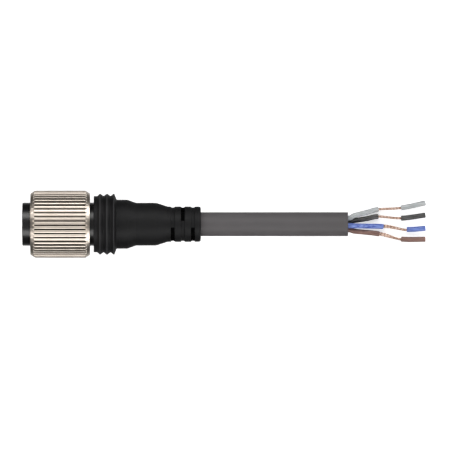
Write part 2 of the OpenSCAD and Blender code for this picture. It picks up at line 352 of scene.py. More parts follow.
@dataclass(frozen=True)
class RibbedFinish(SparkErodedFinish):
    """The eroded face of the ribbed grip, with a highlight painted paler on the tips of its ribs.

    Attributes:
        foot: Radius from which a rib's tip gets the painted highlight.
        tip: Radius of the tips.
        painted_tip_highlight: Colour of the highlight painted on the tips, sRGB hex.
    """

    foot: float = 6.28 * MM
    tip: float = 6.345 * MM
    # painted highlight: the tips' paler colour stands in for the light that they catch
    painted_tip_highlight: str = "2e2e2f"

    def paint_light_and_shade(
        self, tree: bpy.types.NodeTree, place: bpy.types.NodeSocket, colour: bpy.types.NodeSocket
    ) -> bpy.types.NodeSocket:
        """Paints a highlight on the tips of the ribs.

        Args:
            tree: The material's tree.
            place: The point on the grip.
            colour: The plastic's colour.

        Returns:
            The socket that gives the colour.
        """
        painted_tip_highlight = add_node(
            tree, "ShaderNodeMapRange",
            {"Value": axis_distance(tree, place), "From Min": self.foot, "From Max": self.tip},
            interpolation_type="SMOOTHSTEP",
        )
        # painted highlight on the tips of the ribs
        tips = srgb(self.painted_tip_highlight)
        mixed = add_node(
            tree, "ShaderNodeMix", {FACTOR: painted_tip_highlight, FIRST: colour, SECOND: tips}, data_type="RGBA"
        )
        return mixed.outputs[MIXED]


class Metalwork(Enum):
    """The connector's metals."""

    # Nickel over knurled brass: warm, bright and satin, faint plating marks, painted shade in the grooves
    NICKEL = KnurledFinish(
        "nickel plated knurled brass", "nut", "eaded1", "dfd2c4", 0.31, 0.02,
        patch=1.6 * MM, grain=0.05 * MM, grain_height=0.0012 * MM, stretch=6, metallic=1.0,
    )
    # Flash gold over turned brass: yellow, softly polished
    GOLD = Finish(
        "gold plated turned brass", "contact", "e2b75c", "cfa24a", 0.3, 0.01,
        patch=0.8 * MM, grain=0.04 * MM, grain_height=0.001 * MM, metallic=1.0,
    )
    # Drawn copper strands, bared a while ago: pale salmon, dulled in streaks in the air
    COPPER = Finish(
        "drawn bare copper strand", "copper", "f0d6c6", "b8907b", 0.36, 0.06,
        patch=0.3 * MM, streak=4, grain=0.03 * MM, grain_height=0.001 * MM, stretch=8, metallic=1.0,
    )


class Plastic(Enum):
    """The connector's plastics and its seal."""

    # Unfilled polyamide from a polished tool: black, glossy, faint flow marks
    POLYAMIDE = Finish(
        "gloss moulded black polyamide", "carrier", "0b0b0c", "101011", 0.28, 0.01,
        patch=3 * MM, grain=0.4 * MM, grain_height=0.002 * MM, ior=1.62,
    )
    # Polyurethane from a spark-eroded tool: charcoal, matt, with a painted highlight on the ribs' tips
    # and a fine even grain that is drawn about twice its real size so that it shows
    POLYURETHANE = RibbedFinish(
        "matt overmoulded black polyurethane", "grip", "0d0d0e", "111112", 0.58, 0.05,
        patch=4 * MM, grain=0.1 * MM, grain_height=0.004 * MM, ior=1.32,
    )
    # The same plastic in the strain relief's windows, near black and rough with no sheen: painted shade
    WINDOW = Finish(
        "rough black polyurethane of the windows", "grip", "050505", "080808", 0.9, 0.05, ior=1.2,
    )
    # Moulded polypropylene, plain grey and dull, which the overmould hides
    POLYPROPYLENE = Finish(
        "moulded grey polypropylene", "inner_mould", "3c3f44", "44474c", 0.45,
    )
    # Fluoro rubber, pressed and cured: dull, slightly dusty
    FLUORO_RUBBER = Finish(
        "cured fluoro rubber", "seal", "5a241c", "6a2e24", 0.55, grain=0.08 * MM,
    )
    # Extruded sheath: flat grey, with long faint draw lines
    SHEATH = Finish(
        "extruded grey polyurethane sheath", "jacket", "4f4c4d", "535051", 0.6, 0.04,
        patch=5 * MM, grain=0.1 * MM, grain_height=0.006 * MM, stretch=14, ior=1.48,
    )
    # Extruded core insulation: smooth, slightly glossy, with streaks that the strands inside press
    # into it; the white one is milky, the blue one chalky in streaks
    BROWN = Finish(
        "extruded brown insulation", "insulation_brown", "694a42", "8d6c61", 0.36,
        patch=0.4 * MM, streak=9, grain=0.06 * MM, stretch=10, grain_height=0.002 * MM,
    )
    WHITE = Finish(
        "extruded milky insulation", "insulation_white", "969a9b", "bcbfc0", 0.36,
        patch=0.3 * MM, streak=8, grain=0.06 * MM, stretch=10, grain_height=0.002 * MM, scatter=0.2,
    )
    BLUE = Finish(
        "extruded blue insulation", "insulation_blue", "33469a", "7a92d2", 0.3,
        patch=0.35 * MM, streak=7, grain=0.06 * MM, stretch=10, grain_height=0.002 * MM,
    )
    BLACK = Finish(
        "extruded black insulation", "insulation_black", "262625", "525150", 0.34,
        patch=0.3 * MM, streak=8, grain=0.06 * MM, stretch=10, grain_height=0.002 * MM,
    )


class Workshop:
    """Makes each finish once and dresses the pieces with it."""

    def __init__(self) -> None:
        """Starts with no material made."""
        self.made: dict[str, bpy.types.Material] = {}

    def material(self, finish: Finish) -> bpy.types.Material:
        """Gives the material of a finish, made on first use.

        Args:
            finish: The finish.

        Returns:
            Its material.
        """
        if finish.name not in self.made:
            self.made[finish.name] = finish.build()
        return self.made[finish.name]

    def dress(
        self, piece: bpy.types.Object, finish: Finish, body: str, *nodes: str
    ) -> bpy.types.Object:
        """Gives a piece its finish, its body and the CAD nodes that it stands for.

        Args:
            piece: The finished piece.
            finish: Its surface.
            body: The body that it rides on.
            *nodes: The CAD nodes that it replaces.

        Returns:
            The same piece.
        """
        piece.data.materials.clear()
        piece.data.materials.append(self.material(finish))
        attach(piece, body)
        if nodes:
            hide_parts(*nodes)
        LOG.info("%s: %d faces, %s", piece.name, len(piece.data.polygons), finish.name)
        return piece


# ---------------------------------------------------------------- making meshes


def rounded(corners: Sequence[tuple[float, float, float]], steps: int) -> Profile:
    """Rounds the corners of an open outline.

    A point a little before and after each rounding keeps the flat stretches beside it evenly lit.

    Args:
        corners: Each corner as (x, radius, rounding); the first and last stay sharp.
        steps: Segments in each rounding.

    Returns:
        The outline's points.
    """
    straight = math.radians(89)  # half the angle at a corner that lies all but on a line
    most = 0.42  # share of a side that a rounding may take
    margin, gap = 0.15, 0.03  # how far off the extra points lie: shares of the rounding and of a side
    points: Profile = [corners[0][:2]]
    for before, here, after in zip(corners, corners[1:], corners[2:]):
        corner = Vector(here[:2])
        back = Vector(before[:2]) - corner
        ahead = Vector(after[:2]) - corner
        half = back.angle(ahead) / 2
        reach = here[2] / math.tan(half) if half < straight else 0.0
        reach = min(reach, most * back.length, most * ahead.length)
        if reach <= 0:
            points.append(here[:2])
            continue
        start = corner + back.normalized() * reach
        end = corner + ahead.normalized() * reach
        spare = min(margin * reach, gap * back.length, gap * ahead.length)
        curve = [
            start * (1 - t) ** 2 + corner * 2 * t * (1 - t) + end * t**2
            for t in (k / steps for k in range(steps + 1))
        ]
        curve = [start + back.normalized() * spare, *curve, end + ahead.normalized() * spare]
        points += [(p.x, p.y) for p in curve]
    points.append(corners[-1][:2])
    return points


def add_object(name: str, data: bpy.types.ID) -> bpy.types.Object:
    """Puts an object with this name and data into the scene, at the origin.

    Args:
        name: The object's name.
        data: Its mesh, light or camera.

    Returns:
        The object.
    """
    thing = bpy.data.objects.new(name, data)
    bpy.context.scene.collection.objects.link(thing)
    return thing


def mesh_object(name: str, verts: Iterable, faces: Iterable) -> bpy.types.Object:
    """Makes a mesh with smooth faces, sharp edges and outward normals.

    Args:
        name: The piece's name.
        verts: Its points.
        faces: Its faces, as lists of point numbers.

    Returns:
        The object, at the origin.
    """
    mesh = bpy.data.meshes.new(name)
    mesh.from_pydata(list(verts), [], list(faces))
    tidy_mesh(mesh)
    return add_object(name, mesh)


def tidy_mesh(mesh: bpy.types.Mesh) -> None:
    """Merges doubled points, drops loose edges, turns the faces outwards and marks the sharp edges.

    Args:
        mesh: The mesh, which is changed.
    """
    work = bmesh.new()
    work.from_mesh(mesh)
    bmesh.ops.remove_doubles(work, verts=work.verts, dist=SAME_POINT)
    bmesh.ops.dissolve_degenerate(work, dist=NO_LENGTH, edges=work.edges)
    loose = [edge for edge in work.edges if edge.is_wire]
    bmesh.ops.delete(work, geom=loose, context="EDGES")
    bmesh.ops.recalc_face_normals(work, faces=work.faces)
    work.to_mesh(mesh)
    work.free()
    mesh.shade_smooth()
    mesh.set_sharp_from_angle(angle=SHARP_EDGE)


def lathe(
    name: str,
    loop: Profile,
    angles: Sequence[float],
    warp: Callable[[float, float, float], float] | None = None,
) -> bpy.types.Object:
    """Turns a closed outline round the X axis.

    Args:
        name: The piece's name.
        loop: Points (x, radius) round the section.
        angles: The angles of the section's copies, from +Y towards +Z.
        warp: Gives the radius at (x, radius, angle), where it differs from the outline's.

    Returns:
        The turned piece.
    """
    count = len(loop)
    verts = []
    for angle in angles:
        c, s = math.cos(angle), math.sin(angle)
        for x, r in loop:
            r = warp(x, r, angle) if warp else r
            verts.append((x, r * c, r * s))
    faces = []
    for i in range(len(angles)):
        a, b = i * count, (i + 1) % len(angles) * count
        for k in range(count):
            m = (k + 1) % count
            faces.append((a + k, a + m, b + m, b + k))
    return mesh_object(name, verts, faces)


def even_angles(count: int) -> list[float]:
    """Angles that share a turn evenly."""
    return [TAU * i / count for i in range(count)]


def smooth_path(points: Sequence[Point], per_span: int) -> list[Vector]:
    """Lays a smooth curve through points.

    Args:
        points: The points, in order.
        per_span: Steps between two neighbours.

    Returns:
        The curve's points.
    """
    p = [Vector(q) for q in points]
    p = [2 * p[0] - p[1], *p, 2 * p[-1] - p[-2]]
    path = []
    for a, b, c, d in zip(p, p[1:], p[2:], p[3:]):
        for k in range(per_span):
            t = k / per_span
            square = (2 * a - 5 * b + 4 * c - d) * t**2
            cube = (3 * b - a - 3 * c + d) * t**3
            path.append(0.5 * (2 * b + (c - a) * t + square + cube))
    return [*path, p[-2]]


def sweep(
    name: str, path: Sequence[Vector], section: Sequence[tuple[float, float]], sides: int
) -> bpy.types.Object:
    """Sweeps rings along a path, as a solid bar or, where the section comes back, as a tube.

    Args:
        name: The piece's name.
        path: The centre line.
        section: Pairs of (place on the path from 0 to 1, radius), in the order of the skin.
        sides: Sides of each ring.

    Returns:
        The swept piece.
    """
    rings = []
    last = len(path) - 1
    for place, radius in section:
        at = max(0.0, min(1.0, place)) * last
        i = min(int(at), last - 1)
        centre = path[i].lerp(path[i + 1], at - i)
        ahead = (path[min(i + 2, last)] - path[max(i - 1, 0)]).normalized()
        across = Vector((0, 0, 1)).cross(ahead).normalized()
        above = ahead.cross(across)
        rings.append(
            [centre + radius * (math.cos(a) * across + math.sin(a) * above) for a in even_angles(sides)]
        )
    verts = [v for ring in rings for v in ring]
    faces = []
    for i in range(len(rings) - 1):
        for k in range(sides):
            m = (k + 1) % sides
            faces.append((i * sides + k, i * sides + m, (i + 1) * sides + m, (i + 1) * sides + k))
    comes_back = (verts[0] - verts[-sides]).length < NO_LENGTH
    if not comes_back:
        faces.append(tuple(range(sides)))
        faces.append(tuple(range(len(verts) - sides, len(verts))))
    return mesh_object(name, verts, faces)


def use_tree(piece: bpy.types.Object, tree: bpy.types.NodeTree, values: dict) -> bpy.types.Object:
    """Runs a Geometry Nodes tree on a piece and keeps the result as a plain mesh.

    Args:
        piece: The object that the tree starts from.
        tree: The tree.
        values: The tree's inputs by name.

    Returns:
        A mesh object with the piece's name.
    """
    modifier = piece.modifiers.new(tree.name, "NODES")
    modifier.node_group = tree
    for item in tree.interface.items_tree:
        if getattr(item, "in_out", "") == "INPUT" and item.name in values:
            modifier[item.identifier] = values[item.name]
    graph = bpy.context.evaluated_depsgraph_get()
    mesh = bpy.data.meshes.new_from_object(piece.evaluated_get(graph))
    name = piece.name
    bpy.data.objects.remove(piece)
    mesh.name = name
    tidy_mesh(mesh)
    return add_object(name, mesh)


class Recipe:
    """A Geometry Nodes tree under construction."""

    def __init__(self, name: str, inputs: dict[str, str]) -> None:
        """Starts a tree with a geometry input and output.

        Args:
            name: The tree's name.
            inputs: Its further inputs: each name and socket type.
        """
        self.tree = bpy.data.node_groups.new(name, "GeometryNodeTree")
        face = self.tree.interface
        face.new_socket("Geometry", in_out="INPUT", socket_type="NodeSocketGeometry")
        face.new_socket("Geometry", in_out="OUTPUT", socket_type="NodeSocketGeometry")
        for key, kind in inputs.items():
            face.new_socket(key, in_out="INPUT", socket_type=kind)
        self.given = self.add("NodeGroupInput").outputs

    def add(self, kind: str, inputs: dict | list | None = None, **settings: object) -> bpy.types.Node:
        """Adds a node to the tree, as add_node does."""
        return add_node(self.tree, kind, inputs, **settings)

    def finish(self, made: bpy.types.Node, material: bpy.types.Material) -> bpy.types.NodeTree:
        """Ends the tree in Realize Instances and Set Material.

        Args:
            made: The node that gives what the tree made.
            material: The finish of the result.

        Returns:
            The finished tree.
        """
        real = self.add("GeometryNodeRealizeInstances", {"Geometry": made})
        dressed = self.add("GeometryNodeSetMaterial", {"Geometry": real, "Material": material})
        self.add("NodeGroupOutput", {"Geometry": dressed})
        return self.tree


# ---------------------------------------------------------------- coupling nut


@dataclass
class CouplingNut:
    """Knurled ring with the inner thread; it turns on the carrier's neck.

    Attributes:
        front: Where it starts along X.
        back: Where it ends.
        radius: Radius over the ridges.
        ridges: How many ridges the knurl has.
        turn: Angle of the first ridge, from +Y towards +Z.
        ridge_height: From the grooves' floor to the tips of the ridges.
        ridge_flat: Width of a ridge between its flanks.
        ridge_crown: Radius of the round top between the flanks.
        flank_slope: How steeply the flanks fall, as height over width.
        ridge_blend: How softly top and flanks meet.
        ridge_stations: Where a ridge has points, as distances round the nut from its middle.
        chamfer: Length of the chamfers along X.
        chamfer_round: Rounding where they meet the knurl.
        bevel: Depth of the chamfers.
        run_out_step: Steps of the chamfers, where the ridges run out.
        pitch: The thread's pitch.
        thread_minor: Radius of the bore that the thread is cut in.
        thread_relief: Radius of the wider bore behind the thread.
        thread_lead_in: From the front face to the thread's start.
        thread_length: From the front face to the thread's end.
        mouth: How much wider than the relief the front edge is.
        lip_length: Length of the lip that holds the nut on the carrier.
        lip_radius: Radius of the lip's bore.
        lip_bevel: Bevel of that bore at the back.
        edge: Rounding of the outer edges of both faces.
        inner_round: Rounding between relief and lip.
        crisp: Rounding of the other edges.
        per_pitch: Steps along X in each pitch of the thread.
        bore_tolerance: How near the bore's radius a point of the bore lies.
        whole_counts: Whole counts added before a fraction is taken, so that none is below zero.
    """

    front: float
    back: float
    radius: float
    ridges: int = 48
    turn: float = math.radians(5.65)
    ridge_height: float = 0.27 * MM
    ridge_flat: float = 0.40 * MM
    ridge_crown: float = 0.6 * MM
    flank_slope: float = 1.2
    ridge_blend: float = 0.02 * MM
    ridge_stations: tuple[float, ...] = (0.0, 0.13 * MM, 0.21 * MM, 0.24 * MM, 0.27 * MM, 0.35 * MM)
    chamfer: float = 0.95 * MM
    chamfer_round: float = 0.2 * MM
    bevel: float = 0.6 * MM
    run_out_step: float = 0.02 * MM
    pitch: float = 1.0 * MM
    thread_minor: float = 5.459 * MM
    thread_relief: float = 6.05 * MM
    thread_lead_in: float = 0.5 * MM
    thread_length: float = 6.5 * MM
    mouth: float = 0.05 * MM
    lip_length: float = 2.9 * MM
    lip_radius: float = 4.6 * MM
    lip_bevel: float = 0.25 * MM
    edge: float = 0.12 * MM
    inner_round: float = 0.1 * MM
    crisp: float = 0.05 * MM
    per_pitch: int = 8
    bore_tolerance: float = 0.01 * MM
    whole_counts: float = 100.0

    def loop(self) -> Profile:
        """Draws the section before the knurl is rolled and the thread cut.

        Returns:
            Its points, round the section.
        """
        a, b, r = self.front, self.back, self.radius
        thread_end = a + self.thread_length
        lip = b - self.lip_length
        outer = rounded(
            [
                (a, self.thread_relief + self.mouth, 0), (a, r - self.bevel, self.edge), self.run_out(a, 1),
                (a + self.chamfer, r, self.chamfer_round), (b - self.chamfer, r, self.chamfer_round),
                self.run_out(b, -1), (b, r - self.bevel, self.edge),
                (b, self.lip_radius + self.lip_bevel, self.crisp),
                (b - self.lip_bevel, self.lip_radius, self.crisp),
                (lip, self.lip_radius, self.crisp), (lip, self.thread_relief, self.inner_round),
                (thread_end, self.thread_relief, self.crisp), (thread_end, self.thread_minor, 0),
            ],
            steps=5,
        )
        steps = int(self.thread_length / self.pitch * self.per_pitch)
        start = a + self.thread_lead_in
        thread = [
            (thread_end + (start - thread_end) * k / steps, self.thread_minor) for k in range(1, steps + 1)
        ]
        return self.refine(outer) + thread

    def run_out(self, end: float, way: int) -> tuple[float, float, float]:
        """The chamfer's point at the ridges' foot, for the end at x = end and its way inwards."""
        rise = self.bevel - self.ridge_height
        return (end + way * self.chamfer * rise / self.bevel, self.radius - self.ridge_height, 0.0)

    def refine(self, outline: Profile) -> Profile:
        """Splits the steps of the chamfers finely where the ridges run out.

        Args:
            outline: The section's outer points.

        Returns:
            The points with the new ones between them.
        """
        root = self.radius - self.ridge_height
        steep = self.run_out_step / 2
        fine: Profile = []
        for here, after in zip(outline, outline[1:]):
            fine.append(here)
            runs_out = max(here[1], after[1]) > root and abs(here[1] - after[1]) > steep
            cuts = math.ceil(abs(after[0] - here[0]) / self.run_out_step) if runs_out else 1
            fine += [
                (here[0] + (after[0] - here[0]) * k / cuts, here[1] + (after[1] - here[1]) * k / cuts)
                for k in range(1, cuts)
            ]
        return [*fine, outline[-1]]

    def angles(self) -> list[float]:
        """Works out the angles that put points on each ridge's crown, shoulders and flanks.

        Returns:
            The angles, once round.
        """
        pitch = TAU / self.ridges
        half = [station / self.radius for station in self.ridge_stations] + [pitch / 2]
        turn = [*half, *(pitch - a for a in reversed(half[1:-1]))]
        return [self.turn + i * pitch + a for i in range(self.ridges) for a in turn]

    def tree_sizes(self) -> dict[str, float]:
        """Collects the sizes that the tree takes.

        Returns:
            The value of each of its inputs, by name.
        """
        return {
            "Ridges": float(self.ridges), "Turn": self.turn, "Tip Radius": self.radius,
            "Root Radius": self.radius - self.ridge_height, "Ridge Flat": self.ridge_flat,
            "Crown Radius": self.ridge_crown, "Flank Slope": self.flank_slope, "Pitch": self.pitch,
            "Bore Radius": self.thread_minor, "Thread Start": self.front + self.thread_lead_in,
            "Thread End": self.front + self.thread_length,
        }

    def recipe(self, material: bpy.types.Material) -> bpy.types.NodeTree:
        """Makes the tree that rolls the knurl outside and cuts the thread inside.

        Args:
            material: The nut's finish.

        Returns:
            The tree.
        """
        r = Recipe("knurl and thread", dict.fromkeys(self.tree_sizes(), "NodeSocketFloat"))
        given = r.given
        x, y, z = r.add("ShaderNodeSeparateXYZ", [r.add("GeometryNodeInputPosition")]).outputs
        y_square = r.add(MATH, [y, y], operation="MULTIPLY")
        z_square = r.add(MATH, [z, z], operation="MULTIPLY")
        square = r.add(MATH, [y_square, z_square], operation="ADD")
        radius = r.add(MATH, [square], operation="SQRT")
        angle = r.add(MATH, [z, y], operation="ARCTAN2")
        rolled = self.knurl(r, radius, angle)
        # Only the bore's points are cut; each point then moves straight in or out to its new radius
        in_bore = r.add(MATH, [radius, given["Bore Radius"], self.bore_tolerance], operation="COMPARE")
        cut = r.add(MATH, [self.thread_cut(r, x, angle), in_bore, rolled], operation="MULTIPLY_ADD")
        ratio = r.add(MATH, [cut, radius], operation="DIVIDE")
        new_y = r.add(MATH, [y, ratio], operation="MULTIPLY")
        new_z = r.add(MATH, [z, ratio], operation="MULTIPLY")
        moved = r.add("ShaderNodeCombineXYZ", [x, new_y, new_z])
        shaped = r.add("GeometryNodeSetPosition", {"Geometry": given["Geometry"], "Position": moved})
        return r.finish(shaped, material)

    def knurl(self, r: Recipe, radius: bpy.types.Node, angle: bpy.types.Node) -> bpy.types.Node:
        """Adds the knurl: ridges with a round top and straight flanks, and a round floor between them.

        Args:
            r: The tree.
            radius: A point's distance from the axis.
            angle: Its angle round the axis.

        Returns:
            The node that gives the point's radius on the knurled ring.
        """
        given = r.given
        past_first = r.add(MATH, [angle, given["Turn"]], operation="SUBTRACT")
        turns = r.add(MATH, [past_first, TAU], operation="DIVIDE")
        # The first ridge's middle is at half a count, and whole counts keep the value above zero
        count = r.add(MATH, [turns, given["Ridges"], self.whole_counts + 0.5], operation="MULTIPLY_ADD")
        share = r.add(MATH, [count], operation="FRACT")
        off_middle = r.add(MATH, [share, 0.5], operation="SUBTRACT")
        distance = r.add(MATH, [off_middle], operation="ABSOLUTE")
        round_axis = r.add(MATH, [distance, TAU], operation="MULTIPLY")
        turned = r.add(MATH, [round_axis, given["Ridges"]], operation="DIVIDE")
        aside = r.add(MATH, [turned, given["Tip Radius"]], operation="MULTIPLY")
        aside_square = r.add(MATH, [aside, aside], operation="MULTIPLY")
        crown_width = r.add(MATH, [given["Crown Radius"], 2.0], operation="MULTIPLY")
        sag = r.add(MATH, [aside_square, crown_width], operation="DIVIDE")
        crown = r.add(MATH, [given["Tip Radius"], sag], operation="SUBTRACT")
        past_flat = r.add(MATH, [given["Ridge Flat"], -0.5, aside], operation="MULTIPLY_ADD")
        fall = r.add(MATH, [past_flat, given["Flank Slope"]], operation="MULTIPLY")
        flank = r.add(MATH, [given["Tip Radius"], fall], operation="SUBTRACT")
        ridge = r.add(MATH, [crown, flank, self.ridge_blend], operation="SMOOTH_MIN")
        floored = r.add(MATH, [ridge, given["Root Radius"]], operation="MAXIMUM")
        return r.add(MATH, [radius, floored], operation="MINIMUM")

    def thread_cut(self, r: Recipe, x: bpy.types.NodeSocket, angle: bpy.types.Node) -> bpy.types.Node:
        """Adds the thread: a 60 degree groove that climbs one pitch a turn and fades at both ends.

        Args:
            r: The tree.
            x: A point's place along the axis.
            angle: Its angle round the axis.

        Returns:
            The node that gives the groove's depth at the point.
        """
        given = r.given
        # Of one pitch: half the groove's width at the bore, the width of a flank, and the depth
        half_width, flank_width, full_depth = 0.375, 0.3125, 0.5413
        fade_steepness = 4.0  # the groove is at full depth after a quarter of a turn
        turn = r.add(MATH, [angle, TAU], operation="DIVIDE")
        along = r.add(MATH, [x, given["Pitch"]], operation="DIVIDE")
        above_zero = r.add(MATH, [turn, self.whole_counts], operation="ADD")
        climb = r.add(MATH, [along, above_zero], operation="ADD")
        phase = r.add(MATH, [climb], operation="FRACT")
        off_middle = r.add(MATH, [phase, 0.5], operation="SUBTRACT")
        away = r.add(MATH, [off_middle], operation="ABSOLUTE")
        to_edge = r.add(MATH, [half_width, away], operation="SUBTRACT")
        wall = r.add(MATH, [to_edge, flank_width], operation="DIVIDE")
        open_part = r.add(MATH, [wall, 0.0], operation="MAXIMUM")
        groove = r.add(MATH, [open_part, 1.0], operation="MINIMUM")
        depth = r.add(MATH, [groove, full_depth], operation="MULTIPLY")
        from_start = r.add(MATH, [x, given["Thread Start"]], operation="SUBTRACT")
        to_end = r.add(MATH, [given["Thread End"], x], operation="SUBTRACT")
        run_in = r.add(MATH, [from_start, given["Pitch"]], operation="DIVIDE")
        run_out = r.add(MATH, [to_end, given["Pitch"]], operation="DIVIDE")
        nearest = r.add(MATH, [run_in, run_out], operation="MINIMUM")
        within = r.add(MATH, [nearest, 0.0], operation="MAXIMUM")
        rise = r.add(MATH, [within, fade_steepness], operation="MULTIPLY")
        fade = r.add(MATH, [rise, 1.0], operation="MINIMUM")
        faded = r.add(MATH, [depth, fade], operation="MULTIPLY")
        return r.add(MATH, [faded, given["Pitch"]], operation="MULTIPLY")

    def build(self, shop: Workshop) -> None:
        """Makes the nut and puts it on its body.

        Args:
            shop: Gives the finish.
        """
        blank = lathe("nut_knurled_ring", self.loop(), self.angles())
        tree = self.recipe(shop.material(Metalwork.NICKEL.value))
        piece = use_tree(blank, tree, self.tree_sizes())
        shop.dress(piece, Metalwork.NICKEL.value, "nut", "coupling_nut")


# ---------------------------------------------------------------- carrier and seal


@dataclass
class Carrier:
    """Black insert: nose, seat of the seal, flange, neck and the root inside the grip.

    Attributes:
        front: The mating face along X.
        back: The insert's end inside the grip.
        nose: Radius of the nose and the neck.
        nose_round: Rounding of the nose's front edge.
        seat_front: Where the seal's seat starts.
        seat: Radius of that seat.
        flange: Radius of the flange that the nut's lip catches.
        flange_front: Where the flange starts.
        flange_back: Where it ends.
        flange_round: Rounding of its edges.
        crisp: Rounding of the seat's edges and of the neck's end.
        root_groove: Depth of the groove that the grip's plastic fills.
        grip_front: Where the grip starts.
        key_width: Width of the keyway.
        key_depth: Its depth.
        key_length: Its length.
        contacts: How many contacts the insert holds.
        contact_circle: Radius of the circle that they stand on.
        contact_turn: Angle of the first one, from +Y towards +Z.
        entry: Radius of an opening for a pin.
        entry_flare: Width and depth of its bevel.
        entry_length: From the mating face to the cavity behind it.
        cavity: Radius of the cavity.
        cavity_length: From the mating face to the cavity's end.
        over: How far a cutter stands out of the insert.
        seal: Radius of the seal's round section.
    """

    front: float
    back: float
    nose: float = 4.5 * MM
    nose_round: float = 0.2 * MM
    seat_front: float = 8.45 * MM
    seat: float = 4.25 * MM
    flange: float = 5.25 * MM
    flange_front: float = 9.6 * MM
    flange_back: float = 11.0 * MM
    flange_round: float = 0.1 * MM
    crisp: float = 0.05 * MM
    root_groove: float = 0.5 * MM
    grip_front: float = 14.9 * MM
    key_width: float = 1.3 * MM
    key_depth: float = 0.9 * MM
    key_length: float = 7.0 * MM
    contacts: int = 4
    contact_circle: float = 2.75 * MM
    contact_turn: float = math.radians(45)
    entry: float = 0.6 * MM
    entry_flare: float = 0.25 * MM
    entry_length: float = 0.8 * MM
    cavity: float = 0.85 * MM
    cavity_length: float = 6.0 * MM
    over: float = 1.0 * MM
    seal: float = 0.45 * MM

    def blank(self) -> bpy.types.Object:
        """Turns the insert before its openings are cut.

        Returns:
            The plain insert.
        """
        third = (self.back - self.grip_front) / 3
        groove = self.nose - self.root_groove
        corners = [
            (self.front, 0.0, 0), (self.front, self.nose, self.nose_round),
            (self.seat_front, self.nose, self.crisp), (self.seat_front, self.seat, self.crisp),
            (self.flange_front, self.seat, self.crisp), (self.flange_front, self.flange, self.flange_round),
            (self.flange_back, self.flange, self.flange_round),
            (self.flange_back, self.nose, self.flange_round),
            (self.grip_front + third, self.nose, self.crisp), (self.grip_front + third, groove, 0),
            (self.back - third, groove, 0), (self.back - third, self.nose, 0),
            (self.back, self.nose, 0), (self.back, 0.0, 0),
        ]
        return lathe("carrier_insert", rounded(corners, steps=6), even_angles(160))

    def cutters(self) -> tuple[bpy.types.Object, bpy.types.Object]:
        """Makes the tools that cut the openings.

        Returns:
            The cutter of one contact's cavity, on the axis, and the one of the keyway.
        """
        wide = self.entry + self.entry_flare
        cavity = lathe(
            "cavity_cutter",
            [
                (-self.over, 0), (-self.over, wide), (self.front, wide),
                (self.front + self.entry_flare, self.entry), (self.entry_length, self.entry),
                (self.entry_length, self.cavity), (self.cavity_length, self.cavity), (self.cavity_length, 0),
            ],
            even_angles(40),
        )
        half, floor = self.key_width / 2, self.nose - self.key_depth
        xs, ys, zs = (-self.over, self.key_length), (-half, half), (-self.nose - self.over, -floor)
        verts = [(x, y, z) for x in xs for y in ys for z in zs]
        faces = [(0, 1, 3, 2), (4, 6, 7, 5), (0, 4, 5, 1), (2, 3, 7, 6), (0, 2, 6, 4), (1, 5, 7, 3)]
        return cavity, mesh_object("key_cutter", verts, faces)

    def recipe(
        self, cavity: bpy.types.Object, key: bpy.types.Object, material: bpy.types.Material
    ) -> bpy.types.NodeTree:
        """Makes the tree that cuts the cavities and the keyway.

        Args:
            cavity: The cutter of one cavity, on the axis.
            key: The keyway's cutter.
            material: The insert's finish.

        Returns:
            The tree.
        """
        r = Recipe("contact cavities", {"Contacts": "NodeSocketInt", "Circle Radius": "NodeSocketFloat"})
        given = r.given
        count, radius = given["Contacts"], given["Circle Radius"]
        flat = r.add("GeometryNodeMeshCircle", {"Vertices": count, "Radius": radius})
        upright = r.add("GeometryNodeTransform", {"Geometry": flat, "Rotation": (0.0, math.radians(90), 0.0)})
        first = (self.contact_turn, 0.0, 0.0)
        turned = r.add("GeometryNodeTransform", {"Geometry": upright, "Rotation": first})
        drill = r.add("GeometryNodeObjectInfo", {"Object": cavity}).outputs["Geometry"]
        slot = r.add("GeometryNodeObjectInfo", {"Object": key}).outputs["Geometry"]
        drills = r.add("GeometryNodeInstanceOnPoints", {"Points": turned, "Instance": drill})
        real = r.add("GeometryNodeRealizeInstances", {"Geometry": drills})
        tools = r.add("GeometryNodeJoinGeometry", {"Geometry": [real, slot]})
        cut = r.add(
            "GeometryNodeMeshBoolean", {"Mesh 1": given["Geometry"], "Mesh 2": tools},
            operation="DIFFERENCE", solver="MANIFOLD",
        )
        return r.finish(cut, material)

    def build(self, shop: Workshop) -> None:
        """Makes the insert and the seal on its seat.

        Args:
            shop: Gives the finishes.
        """
        cavity, key = self.cutters()
        tree = self.recipe(cavity, key, shop.material(Plastic.POLYAMIDE.value))
        piece = use_tree(
            self.blank(), tree, {"Contacts": self.contacts, "Circle Radius": self.contact_circle}
        )
        for tool in (cavity, key):
            bpy.data.objects.remove(tool)
        shop.dress(piece, Plastic.POLYAMIDE.value, "housing", "contact_carrier")
        x, r = self.flange_front - self.seal, self.seat + self.seal
        section = [(x + self.seal * math.cos(a), r + self.seal * math.sin(a)) for a in even_angles(24)]
        ring = lathe("seal_ring", section, even_angles(96))
        shop.dress(ring, Plastic.FLUORO_RUBBER.value, "housing", "o_ring")


# ---------------------------------------------------------------- grip


